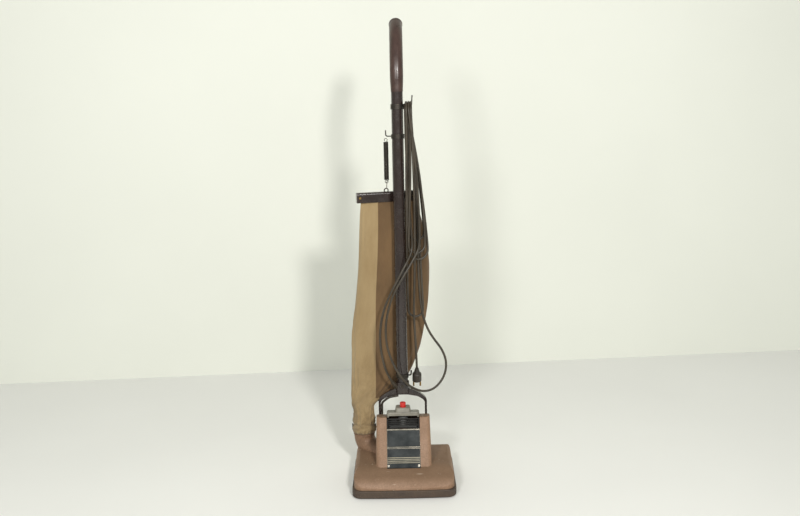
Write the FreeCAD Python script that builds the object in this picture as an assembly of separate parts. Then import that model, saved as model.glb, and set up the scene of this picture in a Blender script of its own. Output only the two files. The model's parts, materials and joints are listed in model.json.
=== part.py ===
"""Upright vacuum cleaner with a side dust bag, modelled piece by piece.

Units are millimetres. +Z is up, +X is to the right of a person who faces the nozzle's front, and the
nozzle's front faces -Y. The origin is on the floor, on the nozzle's centre line, in the middle of the
machine's depth. Every piece is a solid of its own, written to parts/NAME.step.
"""
import FreeCAD, Part
import math
import os

V = FreeCAD.Vector
os.makedirs("parts", exist_ok=True)

# ---- driving dimensions ----
NOZZLE_FRONT = -190.0       # front of the hood, without the bumper
HOOD_REAR = 22.0
HOOD_HALF_FRONT = 136.0
HOOD_HALF_REAR = 134.0
HOOD_TOP = 66.0
HOOD_FOOT = 8.0             # lower rim of the hood
WALL = 2.6                  # cast wall of the hood
BUMPER_THICK = 5.0
BUMPER_LOW = 3.0
BUMPER_TOP = 24.0

TOWER_TOP = 182.0
TOWER_CREST = -58.0         # front of the tower at its top
TOWER_FOOT = -131.0         # front of the tower where it meets the hood
TOWER_FOOT_Z = 60.0
TOWER_REAR = 10.0
TOWER_HALF_TOP = 74.0
TOWER_HALF_FOOT = 77.0
PANEL_HALF = 46.0           # half width of the opening between the ridges
PANEL_SINK = 6.0            # how far the panel lies below the ridges

MOTOR_Y = -33.0             # vertical motor axis
SHAFT_R = 4.0
FAN_R = 38.0
CHAMBER_R = 43.0
CHAMBER_LOW = 40.0
CHAMBER_TOP = 59.0
PULLEY_R = 7.0
PULLEY_Z = 24.5
BELT_R = 2.2

ROLL_Y = -144.0             # brush roll axis, along X
ROLL_Z = 24.5
ROLL_R = 15.0
ROLL_HALF = 112.0
BRISTLE_R = 22.5
BELT_TRACK_R = 12.0

PIVOT_Y = 27.0              # axis of the fork's pivots, along X
PIVOT_Z = 140.0
LEAN = 3.0                  # degrees that the handle leans back at rest
ARM_OUT = 69.0
ARM_IN = 63.0
ARM_DEEP = 12.0
CROWN = 74.0                # underside of the fork's arch, above the pivots
SOCKET_R = 19.5
SOCKET_TOP = 112.0
BOLT_H = 103.0

TUBE_R = 16.0
TUBE_WALL = 1.6
TUBE_LOW = 92.0             # above the pivots, along the tube
TUBE_BEND = 960.0
BEND_R = 172.0
BEND_ANGLE = 59.0

NECK_X = -112.0             # neck of the bag, and top of the exhaust elbow
NECK_Y = 22.0
NECK_R = 28.0
ELBOW_R = 29.0
ELBOW_TOP = 108.0
SLEEVE_TOP = 160.0

CORD_R = 3.25
FIT = 0.04                  # radial clearance of a running fit
FUSE = 0.5                  # overlap inside one piece where two shapes are joined

TOWER_FALL = 20.0           # drop of the tower's top from its crest to its rear
RECESS_FROM = 108.0         # where the louvre recess starts

CAP_LOW = TOWER_TOP - 3.0   # lower edge of the motor cap's sides at the front
CAP_LIP = TOWER_TOP + 0.5   # lower edge of its front
CAP_SHOULDER = 192.0        # edge of the cap's top at the front
CAP_FALL = 0.25             # slope of the cap's top, down to the rear
CAP_WALL = 4.0
CAP_TOP = 200.0             # top of the step around the switch
BUTTON_TOP = 212.5
SWITCH_TOP = 179.5

AXLE_R = 3.0
FRONT_WHEEL = (100.0, -100.0, 10.0)# x, y and radius
FRONT_WHEEL_HALF = 6.0
REAR_WHEEL = (52.0, 50.0, 22.0)# x, y and radius
REAR_WHEEL_HALF = 7.0

SWITCH_Y = MOTOR_Y + 4.0
POST_X = 36.0               # posts of the bearing bridge, from the motor's axis
POST_Y = 22.0
BRIDGE_LOW = 150.0
BELT_PULLEY_R = PULLEY_R + 3.2
BELT_ROLL_R = BELT_TRACK_R + BELT_R + 0.4

LUG_IN = 50.0               # lugs that carry the fork's pins
LUG_OUT = 60.0
PIN_R = 4.0                 # fork pins

GRIP_R = 18.0               # moulded grip over the handle's bend
GRIP_TAPER = 34.0           # length of its thinned lower end
GRIP_BORE = TUBE_R + 0.02

HOOK_WIRE_R = 1.7
BAND_R = TUBE_R + 2.2       # bands clamped around the tube
HOOK_H = 886.0              # upper cord hook, above the pivots
LOWER_HOOK_H = 130.0

SPRING_H = 806.0            # bag spring's bracket, above the pivots
SPRING_X = -30.0
SPRING_Y = 24.0             # behind the tube's axis
SPRING_R = 6.2
SPRING_TOP_Z = 938.0
SPRING_LOW_Z = 822.0

BAR_TOP = 790.0
BAR_LOW = 762.0
BAR_YAW = 12.0              # degrees that the bag's bar turns back on the right
BAR_LEFT = -116.0
BAR_LENGTH = 170.0
BAR_Y = 67.0                # front of the bar at its left end
BAR_DEEP = 18.0

PLUG_X = 42.0
PLUG_Y = 38.0
PLUG_TOP = 288.0
PLUG_LOW = 247.0
PLUG_R = 13.0
PLUG_PIN_R = 2.4
PLUG_PIN_LENGTH = 19.0
PLUG_PIN_APART = 19.0
PLUG_TILT = 15.0            # degrees that the hanging plug leans back


# ---- plain shapes ----
def box(x0, x1, y0, y1, z0, z1):
    return Part.makeBox(x1 - x0, y1 - y0, z1 - z0, V(x0, y0, z0))


def rod(radius, start, end):
    """Round bar between two points."""
    return Part.makeCylinder(radius, (end - start).Length, start, end - start)


def rod_x(radius, x0, x1, y, z):
    return rod(radius, V(x0, y, z), V(x1, y, z))


def rod_y(radius, y0, y1, x, z):
    return rod(radius, V(x, y0, z), V(x, y1, z))


def rod_z(radius, z0, z1, x, y):
    return rod(radius, V(x, y, z0), V(x, y, z1))


def ring_z(outer, inner, z0, z1, x, y):
    return rod_z(outer, z0, z1, x, y).cut(rod_z(inner, z0 - 1, z1 + 1, x, y))


def ring_x(outer, inner, x0, x1, y, z):
    return rod_x(outer, x0, x1, y, z).cut(rod_x(inner, x0 - 1, x1 + 1, y, z))


def join(shapes):
    """One solid made of overlapping shapes."""
    return shapes[0].multiFuse(shapes[1:]).removeSplitter()


def group(shapes):
    """Separate solids that share a node, such as identical screws."""
    return Part.makeCompound(shapes)


def both_sides(shape):
    """A shape and its mirror image about the centre line."""
    return [shape, shape.mirror(V(0, 0, 0), V(1, 0, 0))]


def corner_arc(before, corner, after, radius):
    """Start, middle and end of the arc that rounds a corner."""
    to_before = (before - corner).normalize()
    to_after = (after - corner).normalize()
    half = to_before.getAngle(to_after) / 2
    reach = radius / math.tan(half)
    bisector = (to_before + to_after).normalize()
    middle = corner + bisector * (radius / math.sin(half) - radius)
    return corner + to_before * reach, middle, corner + to_after * reach


def rounded_wire(points, radii, closed=True):
    """Straight runs through the points, with a tangent arc at each corner that has a radius."""
    count = len(points)
    stations = []
    for i, point in enumerate(points):
        is_end = not closed and i in (0, count - 1)
        if is_end or radii[i] == 0:
            stations.append((point, None, point))
        else:
            stations.append(corner_arc(points[i - 1], point, points[(i + 1) % count], radii[i]))
    edges = []
    following = stations[1:] + stations[:1] if closed else stations[1:] + [None]
    for here, after in zip(stations, following):
        if here[1]:
            edges.append(Part.Arc(*here).toShape())
        if after and (after[0] - here[2]).Length > 1e-6:
            edges.append(Part.LineSegment(here[2], after[0]).toShape())
    return Part.Wire(edges)


def plate_x(points, radii, x0, x1):
    """Prism along X over an outline of (y, z) points."""
    wire = rounded_wire([V(x0, y, z) for y, z in points], radii)
    return Part.Face(wire).extrude(V(x1 - x0, 0, 0))


def plate_y(points, radii, y0, y1):
    """Prism along Y over an outline of (x, z) points."""
    wire = rounded_wire([V(x, y0, z) for x, z in points], radii)
    return Part.Face(wire).extrude(V(0, y1 - y0, 0))


def plate_z(points, radii, z0, z1):
    """Prism along Z over an outline of (x, y) points."""
    wire = rounded_wire([V(x, y, z0) for x, y in points], radii)
    return Part.Face(wire).extrude(V(0, 0, z1 - z0))


def along(path, radius):
    """Round bar of one radius along a wire."""
    start = path.OrderedEdges[0]
    first = start.valueAt(start.FirstParameter)
    tangent = start.tangentAt(start.FirstParameter)
    circle = Part.Wire(Part.makeCircle(radius, first, tangent))
    return path.makePipeShell([circle], True, False)


# ---- hood, tower and bumper ----
def hood_plan(outset):
    """Plan outline of the hood: a bowed front, round front corners and a slightly narrower rear."""
    bow = 5.0
    half_front = HOOD_HALF_FRONT + outset
    half_rear = HOOD_HALF_REAR + outset
    front = NOZZLE_FRONT - outset
    points = [(-half_rear, HOOD_REAR + outset), (-half_front, front + bow), (0, front),
              (half_front, front + bow), (half_rear, HOOD_REAR + outset)]
    return points, [12, 25, 2600, 25, 12]


def hood_dome(inset):
    """The nozzle's dome, closed at the rear, drawn in by a wall's thickness."""
    top = HOOD_TOP - inset
    low = HOOD_FOOT - (1 if inset else 0)
    plan = plate_z(*hood_plan(-inset), low, top + 20)
    side = plate_x([(NOZZLE_FRONT + inset, low), (NOZZLE_FRONT + inset, 42), (-126, top),
                    (HOOD_REAR - inset, top - 1), (HOOD_REAR - inset, low)],
                   [0, 40, 110, 12, 0], -150, 150)
    sections = []
    for y, half in ((NOZZLE_FRONT - 10, HOOD_HALF_FRONT + 0.5), (HOOD_REAR + 1, HOOD_HALF_REAR)):
        edge = half - inset
        corners = [(-edge, low), (-edge, top + 0.5), (edge, top + 0.5), (edge, low)]
        sections.append(rounded_wire([V(x, y, z) for x, z in corners], [0, 18, 18, 0]))
    shoulders = Part.makeLoft(sections, True, True)
    return plan.common(side).common(shoulders)


def tower_body(inset):
    """The motor tower: sloping rounded front, tapering sides, flat back."""
    foot = TOWER_FOOT_Z - 6
    slope = (TOWER_CREST - TOWER_FOOT) / (TOWER_TOP - TOWER_FOOT_Z)
    sections = []
    for z, half in ((foot, TOWER_HALF_FOOT), (TOWER_TOP + 4, TOWER_HALF_TOP)):
        edge = half - inset
        front = TOWER_FOOT + (z - TOWER_FOOT_Z) * slope + inset * 1.2
        rear = TOWER_REAR - inset
        corners = [(-edge, rear), (-edge, front), (edge, front), (edge, rear)]
        sections.append(rounded_wire([V(x, y, z) for x, y in corners], [16, 13, 13, 16]))
    body = Part.makeLoft(sections, True, True)
    top = TOWER_TOP - inset
    wide = TOWER_HALF_FOOT + 20
    crown = plate_y([(-wide, foot), (-wide, top - 20), (-TOWER_HALF_TOP + inset, top),
                     (TOWER_HALF_TOP - inset, top), (wide, top - 20), (wide, foot)],
                    [0, 0, 12, 12, 0, 0], -160, 40)
    side = plate_x([(-160, foot), (TOWER_CREST + inset, top), (TOWER_REAR - inset, top - TOWER_FALL),
                    (TOWER_REAR - inset, foot)], [0, 9, 6, 0], -100, 100)
    return body.common(crown).common(side)


def slope_prism(x0, x1, under, over, low=-12.0, high=160.0):
    """Slab that follows the tower's sloping front, from a depth under it to a height over it.

    low and high are distances along the slope from the panel's lower edge.
    """
    along_slope = V(0, TOWER_CREST - TOWER_FOOT, TOWER_TOP - TOWER_FOOT_Z).normalize()
    outward = V(0, -along_slope.z, along_slope.y)
    foot = V(x0, TOWER_FOOT, TOWER_FOOT_Z)
    corners = [foot + along_slope * low - outward * under, foot + along_slope * low + outward * over,
               foot + along_slope * high + outward * over, foot + along_slope * high - outward * under]
    return Part.Face(rounded_wire(corners, [0, 0, 0, 0])).extrude(V(x1 - x0, 0, 0))


def elbow_path():
    """Centre line of the exhaust elbow: down from the neck, then round into the tower's side."""
    return rounded_wire([V(NECK_X, NECK_Y, ELBOW_TOP), V(NECK_X, NECK_Y, 68),
                         V(-60, -22, 52)], [0, 38, 0], closed=False)


def hood():
    """One casting: nozzle dome and hollow motor tower, open below, with the panel's opening."""
    outer = join([hood_dome(0), tower_body(0)])
    dome_space = hood_dome(WALL)
    tower_space = tower_body(WALL)
    ridge_walls = []
    for middle in (-PANEL_HALF - WALL / 2, PANEL_HALF + WALL / 2):
        slab = slope_prism(middle - WALL / 2, middle + WALL / 2, 18, 0, -40)
        ridge_walls.append(tower_space.common(slab).cut(box(-100, 100, -200, 50, 0, HOOD_TOP - WALL)))
    shell = outer.cut(dome_space).cut(tower_space)
    shell = shell.multiFuse(ridge_walls)
    shell = shell.cut(slope_prism(-PANEL_HALF, PANEL_HALF, 16, 20, 0))
    shell = shell.cut(above_cap_floor(PANEL_HALF, 1.0))
    shell = shell.cut(along(elbow_path(), ELBOW_R + 0.2))
    for notch in both_sides(box(35, 69, 15, HOOD_REAR + 4, 0, CHAMBER_LOW + 2)):
        shell = shell.cut(notch)
    for x in (-30, -10, 10, 30):
        for z in (100, 116, 132):
            shell = shell.cut(box(x - 7, x + 7, 0, 20, z, z + 5))
    return shell.removeSplitter()


def bumper():
    """Rubber strip around the hood's front and sides, rounded along its upper and lower edges."""
    outer = plate_z(*hood_plan(BUMPER_THICK), BUMPER_LOW, BUMPER_TOP)
    long_edges = [edge for edge in outer.Edges
                  if abs(edge.BoundBox.ZMin - edge.BoundBox.ZMax) < 0.01 and edge.Length > 20]
    rounded = outer.makeFillet(2.4, long_edges)
    band = rounded.cut(plate_z(*hood_plan(0.0), 0, 40))
    return band.cut(box(-200, 200, 14, 60, 0, 40))


# ---- front panel ----


def front_panel():
    """Painted cover plate, two flat bands with a step between them."""
    plate = slope_prism(-PANEL_HALF + 0.3, PANEL_HALF - 0.3, PANEL_SINK + 3, -PANEL_SINK, 2, RECESS_FROM)
    upper = slope_prism(-PANEL_HALF + 3, PANEL_HALF - 3, PANEL_SINK + 1, -PANEL_SINK + 1.6, 61, 104)
    band = slope_prism(-PANEL_HALF + 3, PANEL_HALF - 3, PANEL_SINK + 1, -PANEL_SINK + 1.2, 33, 53)
    foot = slope_prism(-PANEL_HALF + 9, PANEL_HALF - 9, PANEL_SINK + 1, -PANEL_SINK + 1.2, 4, 13)
    return join([plate, upper, band, foot])


def panel_trim():
    """Bright lip at the panel's top, two bright strips and the two upright edge strips."""
    strips = []
    for low, high, over in ((104.5, 108, 3.2), (57.5, 59.5, 2.2), (54, 55.8, 2.2)):
        strips.append(slope_prism(-PANEL_HALF + 1.4, PANEL_HALF - 1.4, PANEL_SINK, -PANEL_SINK + over,
                                  low, high))
    for edge in both_sides(slope_prism(PANEL_HALF - 1.2, PANEL_HALF - 0.3, PANEL_SINK,
                                       -PANEL_SINK + 2.4, 3, RECESS_FROM - 0.2)):
        strips.append(edge)
    return group(strips)


def panel_ribs():
    """Four cream ribs across the lower part of the panel."""
    ribs = []
    for low in (15, 19.6, 24.2, 28.8):
        ribs.append(slope_prism(-PANEL_HALF + 1.4, PANEL_HALF - 1.4, PANEL_SINK, -PANEL_SINK + 2.0,
                                low, low + 2.2))
    return group(ribs)


def vent_louvres():
    """Black frame with three slanting slats that lets cooling air into the motor."""
    frame = slope_prism(-PANEL_HALF + 0.3, PANEL_HALF - 0.3, 13, -PANEL_SINK - 3.2, RECESS_FROM - 3, 138)
    hole = slope_prism(-PANEL_HALF + 4, PANEL_HALF - 4, 20, 5, RECESS_FROM + 1, 135)
    slats = []
    for low in (111, 117, 123, 129):
        slats.append(slope_prism(-PANEL_HALF + 3.5, PANEL_HALF - 3.5, 12.5, -PANEL_SINK - 4.5,
                                 low, low + 2))
    return join([frame.cut(hole)] + slats)


def panel_screws():
    """Two round-head screws at the panel's lower corners."""
    along_slope = V(0, TOWER_CREST - TOWER_FOOT, TOWER_TOP - TOWER_FOOT_Z).normalize()
    outward = V(0, -along_slope.z, along_slope.y)
    screws = []
    for side in (-1, 1):
        seat = V(side * 41.5, TOWER_FOOT, TOWER_FOOT_Z) + along_slope * 8 - outward * PANEL_SINK
        head = rod(3.0, seat, seat + outward * 1.8)
        slot = rod(0.5, seat + outward * 1.8 - V(4, 0, 0), seat + outward * 1.8 + V(4, 0, 0))
        screws.append(head.cut(slot))
    return group(screws)


# ---- motor cap and switch ----
def above_cap_floor(half, gap):
    """Block of room above the cap's lower edge, which falls to the rear with the tower's top."""
    rear = 2.0
    fall = TOWER_FALL * (rear - TOWER_CREST) / (TOWER_REAR - TOWER_CREST)
    low = CAP_LOW - gap
    high = CAP_TOP + 20
    profile = [(TOWER_CREST - 20, low), (TOWER_CREST, low), (rear, low - fall), (rear, high),
               (TOWER_CREST - 20, high)]
    return plate_x(profile, [0] * 5, -half, half)


def cap_roof(y):
    """Height of the cap's top, which falls to the rear."""
    return CAP_SHOULDER - (y - TOWER_CREST - 3) * CAP_FALL


def under_roof(depth):
    """Block of room that ends a given depth below the cap's top."""
    front = TOWER_CREST - 5
    rear = 10
    profile = [(front, 100), (rear, 100), (rear, cap_roof(rear) - depth), (front, cap_roof(front) - depth)]
    return plate_x(profile, [0] * 4, -60, 60)


def motor_cap():
    """Moulded cap between the ridges, with a grooved edge and a raised step around the switch."""
    front = TOWER_CREST + 3
    rear = 1.5
    foot = CAP_LOW - TOWER_FALL
    radii = [8, 6, 6, 8]
    outline = [(-45.4, rear), (-45.4, front), (45.4, front), (45.4, rear)]
    inset = [(x * 0.975, y * 0.98 - 0.5) for x, y in outline]
    room = above_cap_floor(60, 0)
    skirt = plate_z(outline, radii, foot, CAP_SHOULDER).common(room).common(under_roof(3.8))
    core = plate_z(inset, radii, foot, CAP_SHOULDER).common(room).common(under_roof(1.2))
    lower = [V(x, y, cap_roof(y) - 2.4) for x, y in outline]
    upper = []
    for x, y in outline:
        y_top = (y + MOTOR_Y * 0.05) / 1.05
        upper.append(V(x * 0.96, y_top, cap_roof(y_top)))
    shoulder = Part.makeLoft([rounded_wire(lower, radii), rounded_wire(upper, radii)], True, True)
    low_step = [V(x, y, SWITCH_TOP) for x, y in ((-23, -8), (-23, -51), (23, -51), (23, -8))]
    high_step = [V(x, y, CAP_TOP) for x, y in ((-19.5, -16), (-19.5, -43), (19.5, -43), (19.5, -16))]
    step = Part.makeLoft([rounded_wire(low_step, [6] * 4), rounded_wire(high_step, [6] * 4)], True, True)
    body = join([skirt, core, shoulder, step])
    hollow = plate_z([(-42, -1.5), (-42, front + 3), (42, front + 3), (42, -1.5)], [5] * 4,
                     foot - 1, CAP_SHOULDER).common(under_roof(CAP_WALL))
    well = rod_z(9.0, SWITCH_TOP, CAP_TOP + 1, 0, SWITCH_Y)
    step_space = rod_z(12.0, SWITCH_TOP - 1, CAP_TOP - 3, 0, SWITCH_Y)
    lip_notch = box(-40, 40, front - 2, front + 5, foot, CAP_LIP)
    return body.cut(hollow).cut(well).cut(step_space).cut(lip_notch)


def switch_button():
    """Red push button with a collar that keeps it in the cap."""
    top = rod_z(8.2, CAP_TOP - 8, BUTTON_TOP, 0, SWITCH_Y)
    rim = [edge for edge in top.Edges if edge.BoundBox.ZMin > BUTTON_TOP - 0.1]
    top = top.makeFillet(1.6, rim)
    collar = rod_z(11.2, CAP_TOP - 7, CAP_TOP - 4, 0, SWITCH_Y)
    stem = rod_z(3, SWITCH_TOP + 0.8, CAP_TOP - 7, 0, SWITCH_Y)
    return join([top, collar, stem])


def button_spring():
    """Coil spring around the button's stem, drawn as a sleeve."""
    return ring_z(5.2, 3.8, SWITCH_TOP + 0.4, CAP_TOP - 8.1, 0, SWITCH_Y)


def switch_body():
    """Switch block under the cap, carried by the upper bearing bridge."""
    block = box(-16, 16, SWITCH_Y - 9, SWITCH_Y + 7, 176, SWITCH_TOP)
    return block.cut(rod_z(3.6, SWITCH_TOP - 4.3, CAP_TOP, 0, SWITCH_Y))


# ---- chassis, sole plate, wheels ----
def chassis():
    """Casting that carries everything: fan floor, volute wall, brackets for wheels and pivots."""
    floor = plate_z([(-118, -92), (118, -92), (118, 18), (-118, 18)], [6, 6, 20, 20],
                    CHAMBER_LOW - 4, CHAMBER_LOW)
    eye = rod_z(20, CHAMBER_LOW - 6, CHAMBER_LOW + 2, 0, MOTOR_Y)
    volute = ring_z(CHAMBER_R + 3, CHAMBER_R, CHAMBER_LOW - FUSE, CHAMBER_TOP, 0, MOTOR_Y)
    port = box(-62, -30, -40, -14, CHAMBER_LOW + 1, CHAMBER_TOP - 1)
    pieces = [floor.cut(eye), volute.cut(port)]
    pieces += both_sides(box(112, 118, -92, 8, HOOD_FOOT + 0.5, CHAMBER_LOW - 4 + FUSE))
    x, y, radius = REAR_WHEEL
    for inner in (x - REAR_WHEEL_HALF - 8, x + REAR_WHEEL_HALF + 2):
        arm = plate_x([(8, 14), (y + 7, radius - 7), (y + 7, radius + 7), (18, CHAMBER_LOW),
                       (8, CHAMBER_LOW)], [0, 6, 6, 6, 0], inner, inner + 6)
        pieces += both_sides(arm)
    x, y, radius = FRONT_WHEEL
    for inner in (x - FRONT_WHEEL_HALF - 6, x + FRONT_WHEEL_HALF + 1):
        arm = plate_x([(y - 6, CHAMBER_LOW - 4 + FUSE), (y - 6, radius - 4), (y + 6, radius - 4),
                       (y + 14, CHAMBER_LOW - 4 + FUSE)], [0, 4, 4, 0], inner, inner + 5)
        pieces += both_sides(arm)
    body = join(pieces)
    x, y, radius = REAR_WHEEL
    body = body.cut(rod_x(AXLE_R + 0.02, -90, 90, y, radius))
    x, y, radius = FRONT_WHEEL
    return body.cut(rod_x(AXLE_R + 0.02, -118.5, 118.5, y, radius))


def sole_plate():
    """Flat plate under the nozzle with the mouth slot and the slots for the front wheels."""
    plate = plate_z(*hood_plan(-0.4), 5.4, HOOD_FOOT)
    plate = plate.cut(box(-118, 118, -170, -110, 0, 20))
    x, y, radius = FRONT_WHEEL
    for slot in both_sides(box(x - 13.2, x + 13.2, -109.9, y + 14.5, 0, 20)):
        plate = plate.cut(slot)
    ribs = [box(x - 1.3, x + 1.3, -171, -109, 5.4, 7.4) for x in (-62, 62)]
    return join([plate] + ribs)


def sole_screws():
    """Four cheese-head screws of the sole plate."""
    screws = []
    for x in (-123.5, 123.5):
        for y in (-96, -8):
            screws.append(rod_z(3.2, 4.2, 5.4, x, y))
    return group(screws)


def wheel(x, y, radius, half, tread):
    """Wheel with a rubber tread's round edge and a hub that turns on its axle."""
    disc = rod_x(radius, x - half, x + half, y, radius)
    rims = [edge for edge in disc.Edges if abs(edge.BoundBox.XMax - edge.BoundBox.XMin) < 0.01]
    disc = disc.makeFillet(tread, rims)
    return disc.cut(rod_x(AXLE_R + FIT, x - half - 1, x + half + 1, y, radius))


def front_wheel(side):
    x, y, radius = FRONT_WHEEL
    return wheel(side * x, y, radius, FRONT_WHEEL_HALF, 1.5)


def rear_wheel(side):
    x, y, radius = REAR_WHEEL
    face = wheel(side * x, y, radius, REAR_WHEEL_HALF, 3)
    dish = ring_x(radius - 6, 8, x + 4, x + 8, y, radius)
    return face.cut(dish if side > 0 else dish.mirror(V(0, 0, 0), V(1, 0, 0)))


def wheel_axles():
    """One rear axle rod and two short front axles."""
    x, y, radius = FRONT_WHEEL
    front = both_sides(rod_x(AXLE_R, x - 12, x + 12, y, radius))
    x, y, radius = REAR_WHEEL
    return group(front + [rod_x(AXLE_R, -x - 16, x + 16, y, radius)])


# ---- motor ----
def fan_cover():
    """Plate over the fan chamber, with the lower bearing's seat."""
    plate = rod_z(CHAMBER_R + 0.6, CHAMBER_TOP, CHAMBER_TOP + 3, 0, MOTOR_Y)
    seat = rod_z(15, CHAMBER_TOP + 2, CHAMBER_TOP + 10, 0, MOTOR_Y)
    posts = []
    for x in (-POST_X, POST_X):
        for y in (MOTOR_Y - POST_Y, MOTOR_Y + POST_Y):
            posts.append(rod_z(3, CHAMBER_TOP + 2, BRIDGE_LOW, x, y))
    shape = join([plate, seat] + posts)
    shape = shape.cut(rod_z(11, CHAMBER_TOP + 2, CHAMBER_TOP + 12, 0, MOTOR_Y))
    return shape.cut(rod_z(6, CHAMBER_TOP - 2, CHAMBER_TOP + 12, 0, MOTOR_Y))


def motor_bearings():
    """Two sealed ball bearings, each drawn as one ring that holds the shaft with a running fit."""
    return group([ring_z(10.98, SHAFT_R + FIT, z0, z0 + 7, 0, MOTOR_Y) for z0 in (CHAMBER_TOP + 3, 155)])


def bearing_bridge():
    """Plate over the motor: upper bearing's cup, stalk of the switch and two brush holders."""
    half_x = POST_X + 4
    half_y = POST_Y + 3
    plate = plate_z([(-half_x, MOTOR_Y - half_y), (half_x, MOTOR_Y - half_y), (half_x, MOTOR_Y + half_y),
                     (-half_x, MOTOR_Y + half_y)], [6] * 4, BRIDGE_LOW, BRIDGE_LOW + 4)
    cup = rod_z(14, BRIDGE_LOW, 176, 0, MOTOR_Y)
    holders = both_sides(box(14.5, 28, MOTOR_Y - 5, MOTOR_Y + 5, 133, BRIDGE_LOW + FUSE))
    body = join([plate, cup] + holders)
    body = body.cut(box(-19.05, 19.05, MOTOR_Y - 3, MOTOR_Y + 3, 135, 141))
    return body.cut(rod_z(11, 149, 163, 0, MOTOR_Y)).cut(rod_z(6, 149, 174, 0, MOTOR_Y))


def stator_core():
    """Laminated ring with two poles around the armature."""
    ring = ring_z(39, 33, 84, 128, 0, MOTOR_Y)
    poles = []
    for side in (-1, 1):
        poles.append(box(side * 28 - 8, side * 28 + 8, MOTOR_Y - 10, MOTOR_Y + 10, 84, 128))
    core = join([ring] + poles)
    return core.cut(rod_z(22.6, 80, 132, 0, MOTOR_Y))


def field_coils():
    """Two wound coils, one around each pole."""
    coils = []
    for side in (-1, 1):
        outer = box(side * 25 - 3.5, side * 25 + 3.5, MOTOR_Y - 15.5, MOTOR_Y + 15.5, 79, 132)
        inner = box(side * 25 - 9, side * 25 + 9, MOTOR_Y - 10.1, MOTOR_Y + 10.1, 83.9, 128.1)
        coils.append(outer.cut(inner).cut(rod_z(23, 70, 140, 0, MOTOR_Y)))
    return group(coils)


def armature():
    """Slotted armature core pressed on the motor shaft."""
    core = rod_z(22, 86, 126, 0, MOTOR_Y)
    for step in range(12):
        angle = math.radians(30 * step)
        core = core.cut(rod_z(1.6, 80, 130, 20.6 * math.cos(angle), MOTOR_Y + 20.6 * math.sin(angle)))
    return core.cut(rod_z(SHAFT_R, 80, 130, 0, MOTOR_Y))


def motor_shaft():
    return rod_z(SHAFT_R, 16, 165, 0, MOTOR_Y)


def commutator():
    """Copper commutator on the shaft above the armature."""
    drum = ring_z(11, SHAFT_R, 131, 145, 0, MOTOR_Y)
    for step in range(16):
        angle = math.radians(22.5 * step)
        spot = V(11 * math.cos(angle), MOTOR_Y + 11 * math.sin(angle), 0)
        drum = drum.cut(box(spot.x - 0.3, spot.x + 0.3, spot.y - 0.3, spot.y + 0.3, 130, 146))
    return drum


def carbon_brushes():
    """Two carbon blocks that press on the commutator."""
    return group(both_sides(box(11.1, 19, MOTOR_Y - 3, MOTOR_Y + 3, 135, 141)))


def impeller():
    """Suction fan: back disc, hub and eight swept vanes."""
    disc = rod_z(FAN_R, CHAMBER_TOP - 5, CHAMBER_TOP - 3, 0, MOTOR_Y)
    hub = rod_z(9, CHAMBER_LOW + 2, CHAMBER_TOP - 4, 0, MOTOR_Y)
    vanes = []
    for step in range(8):
        points = []
        for part in range(3):
            radius = 8 + part * (FAN_R - 9) / 2
            angle = math.radians(45 * step - part * 24)
            points.append(V(radius * math.cos(angle), MOTOR_Y + radius * math.sin(angle), 0))
        blade = Part.Arc(*points).toShape().extrude(V(0, 0, CHAMBER_TOP - CHAMBER_LOW - 7))
        blade.translate(V(0, 0, CHAMBER_LOW + 2.5))
        vanes.append(blade.makeOffsetShape(0.7, 0.01, fill=True))
    wheel_shape = join([disc, hub] + vanes)
    return wheel_shape.cut(rod_z(SHAFT_R, 30, 70, 0, MOTOR_Y))


def drive_pulley():
    """Grooved pulley on the lower end of the motor shaft."""
    drum = rod_z(PULLEY_R + 3, PULLEY_Z - 6, PULLEY_Z + 6, 0, MOTOR_Y)
    groove = Part.makeTorus(PULLEY_R + 3.2, BELT_R + 1.4, V(0, MOTOR_Y, PULLEY_Z))
    return drum.cut(groove).cut(rod_z(SHAFT_R, 10, 40, 0, MOTOR_Y))


# ---- brush roll and belt ----
def drive_belt():
    """Round rubber belt that makes a quarter turn between the upright shaft and the level roll."""
    behind = Part.makeTorus(BELT_PULLEY_R, BELT_R, V(0, MOTOR_Y, PULLEY_Z), V(0, 0, 1))
    behind = behind.common(box(-40, 40, MOTOR_Y, MOTOR_Y + 40, 0, 60))
    ahead = Part.makeTorus(BELT_ROLL_R, BELT_R, V(0, ROLL_Y, ROLL_Z), V(1, 0, 0))
    ahead = ahead.common(box(-40, 40, ROLL_Y - 40, ROLL_Y, 0, 60))
    pieces = [behind, ahead]
    for side in (-1, 1):
        leave = V(side * BELT_PULLEY_R, MOTOR_Y, PULLEY_Z)
        arrive = V(0, ROLL_Y, ROLL_Z - side * BELT_ROLL_R)
        pieces.append(rod(BELT_R - 0.06, leave, arrive))
        pieces.append(Part.makeSphere(BELT_R + 0.3, leave))
        pieces.append(Part.makeSphere(BELT_R + 0.3, arrive))
    return pieces[0].multiFuse(pieces[1:])


def brush_roll():
    """Wooden roll with a belt track in the middle and steel journals at its ends."""
    roll = rod_x(ROLL_R, -ROLL_HALF, ROLL_HALF, ROLL_Y, ROLL_Z)
    track = ring_x(ROLL_R + 5, BELT_TRACK_R, -6, 6, ROLL_Y, ROLL_Z)
    journal = rod_x(4, -ROLL_HALF - 7, ROLL_HALF + 7, ROLL_Y, ROLL_Z)
    return join([roll.cut(track), journal])


def bristle_rows():
    """Two rows of bristle tufts set in the roll, in a slow spiral."""
    tufts = []
    for start in (0, 180):
        for step in range(18):
            x = -102 + 12 * step
            if abs(x) < 12:
                continue
            angle = math.radians(start + 5 * step)
            outward = V(0, math.cos(angle), math.sin(angle))
            centre = V(x, ROLL_Y, ROLL_Z)
            tufts.append(rod(2.2, centre + outward * (ROLL_R - 1.5), centre + outward * BRISTLE_R))
    return group(tufts)


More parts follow.
